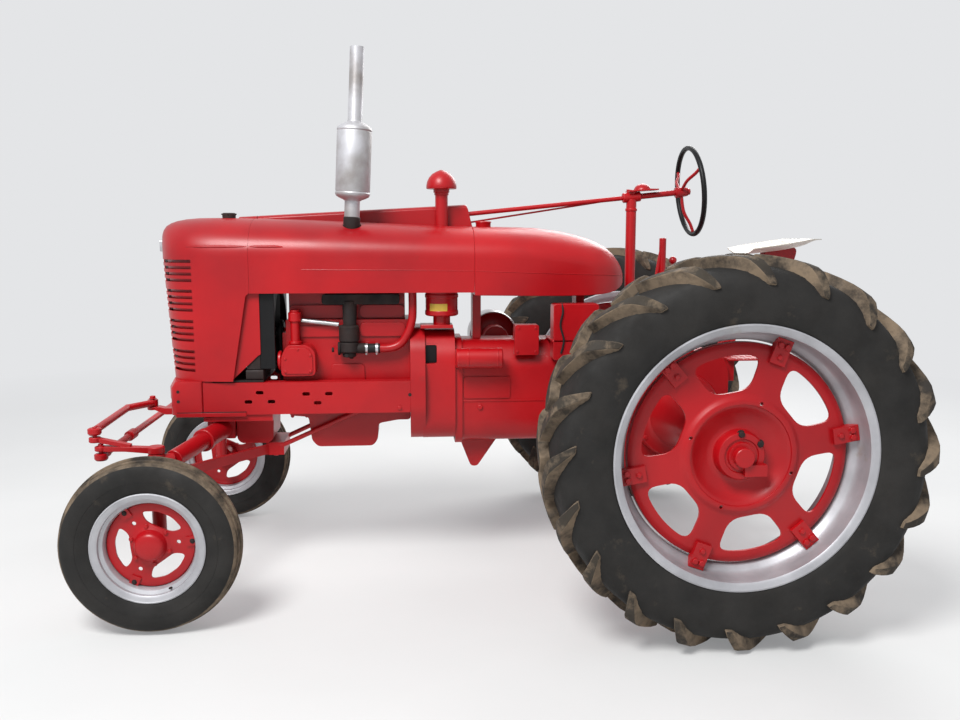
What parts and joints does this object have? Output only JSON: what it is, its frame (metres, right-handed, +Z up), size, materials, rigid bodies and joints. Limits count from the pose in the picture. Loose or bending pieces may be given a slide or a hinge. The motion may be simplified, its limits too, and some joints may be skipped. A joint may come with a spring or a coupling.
{
  "type": "farm tractor",
  "caption": "Red row-crop farm tractor with a wide tubular front axle, large lugged rear tyres, open engine, upright exhaust and a metal seat.",
  "frame": {"origin": "on the ground under the middle of the tractor's length and width", "axes": "+X forwards along the length, +Y to the tractor's left, +Z up"},
  "size_m": [3.403, 2.414, 2.4266],
  "materials": {
    "red_paint": "satin",
    "rim_paint": "satin",
    "tyre_rubber": "matte",
    "dark_iron": "matte",
    "black_paint": "satin",
    "black_rubber": "matte",
    "seat_paint": "satin"
  },
  "bodies": {
    "chassis": {"air_cleaner": "red_paint", "air_pipe": "red_paint", "air_stack": "red_paint", "axle_braces": "red_paint", "axle_carrier": "red_paint", "axle_housings": "red_paint", "carburettor": "dark_iron", "clutch_housing": "red_paint", "control_levers": "red_paint", "cylinder_head": "red_paint", "drawbar": "red_paint", "engine_block": "red_paint", "exhaust": "rim_paint", "fan_belt": "black_rubber", "fan_shroud": "black_paint", "front_axle": "red_paint", "front_bolster": "red_paint", "fuel_tank": "red_paint", "generator": "dark_iron", "governor": "red_paint", "grille_shell": "red_paint", "hood": "red_paint", "left_box": "red_paint", "manifold": "dark_iron", "oil_pan": "red_paint", "operator_platform": "red_paint", "radiator": "dark_iron", "seat_pan": "seat_paint", "seat_support": "red_paint", "side_rails": "red_paint", "starter": "red_paint", "steering_post": "red_paint", "tank_supports": "red_paint", "transmission_case": "red_paint"},
    "knuckle_left": {"knuckle_left": "red_paint"},
    "knuckle_right": {"knuckle_right": "red_paint"},
    "tie_rod": {"tie_rod": "red_paint"},
    "drag_link": {"drag_link": "red_paint"},
    "pitman": {"pitman_arm": "red_paint"},
    "steering_wheel": {"steering_shaft": "red_paint", "steering_rim": "black_paint"},
    "fan": {"fan": "black_paint"},
    "belt_pulley": {"belt_pulley": "red_paint"},
    "front_wheel_left": {"front_tyre_left": "tyre_rubber", "front_rim_left": "rim_paint", "front_disc_left": "red_paint"},
    "front_wheel_right": {"front_tyre_right": "tyre_rubber", "front_rim_right": "rim_paint", "front_disc_right": "red_paint"},
    "rear_wheel_left": {"rear_tyre_left": "tyre_rubber", "rear_rim_left": "rim_paint", "rear_disc_left": "red_paint"},
    "rear_wheel_right": {"rear_tyre_right": "tyre_rubber", "rear_rim_right": "rim_paint", "rear_disc_right": "red_paint"}
  },
  "joints": [
    {"name": "steer_left", "type": "hinge", "parent": "chassis", "child": "knuckle_left", "pos_m": [1.3415, 0.635, 0.65], "axis": [0, 0, 1], "range_deg": [-45, 45]},
    {"name": "steer_right", "type": "hinge", "parent": "chassis", "child": "knuckle_right", "pos_m": [1.3415, -0.635, 0.65], "axis": [0, 0, 1], "range_deg": [-45, 45]},
    {"name": "tie_rod_pivot", "type": "hinge", "parent": "knuckle_left", "child": "tie_rod", "pos_m": [1.5605, 0.635, 0.694], "axis": [0, 0, 1], "range_deg": [-45, 45]},
    {"name": "drag_link_pivot", "type": "hinge", "parent": "knuckle_left", "child": "drag_link", "pos_m": [1.5815, 0.635, 0.8], "axis": [0, 0, 1], "range_deg": [-45, 45]},
    {"name": "pitman_swing", "type": "hinge", "parent": "chassis", "child": "pitman", "pos_m": [1.2815, 0, 0.76], "axis": [0, 0, 1], "range_deg": [-45, 45]},
    {"name": "steering_turn", "type": "hinge", "parent": "chassis", "child": "steering_wheel", "pos_m": [-1.0445, -0.08, 1.8], "axis": [0.9947, 0, -0.1025], "range_deg": [-540, 540]},
    {"name": "fan_spin", "type": "hinge", "parent": "chassis", "child": "fan", "pos_m": [0.9265, 0, 1.13], "axis": [1, 0, 0], "continuous": true},
    {"name": "pulley_spin", "type": "hinge", "parent": "chassis", "child": "belt_pulley", "pos_m": [-0.1325, -0.33, 1.079], "axis": [0, 1, 0], "continuous": true},
    {"name": "front_spin_left", "type": "hinge", "parent": "knuckle_left", "child": "front_wheel_left", "pos_m": [1.3415, 0.763, 0.36], "axis": [0, 1, 0], "continuous": true},
    {"name": "rear_spin_left", "type": "hinge", "parent": "chassis", "child": "rear_wheel_left", "pos_m": [-0.9415, 1.026, 0.76], "axis": [0, 1, 0], "continuous": true},
    {"name": "front_spin_right", "type": "hinge", "parent": "knuckle_right", "child": "front_wheel_right", "pos_m": [1.3415, -0.763, 0.36], "axis": [0, 1, 0], "continuous": true},
    {"name": "rear_spin_right", "type": "hinge", "parent": "chassis", "child": "rear_wheel_right", "pos_m": [-0.9415, -1.026, 0.76], "axis": [0, 1, 0], "continuous": true}
  ],
  "couplings": [
    {"joint": "steer_right", "follows": "steer_left", "ratio": 1},
    {"joint": "tie_rod_pivot", "follows": "steer_left", "ratio": -1},
    {"joint": "drag_link_pivot", "follows": "steer_left", "ratio": -1},
    {"joint": "pitman_swing", "follows": "steer_left", "ratio": 1},
    {"joint": "steering_turn", "follows": "steer_left", "ratio": -12}
  ]
}
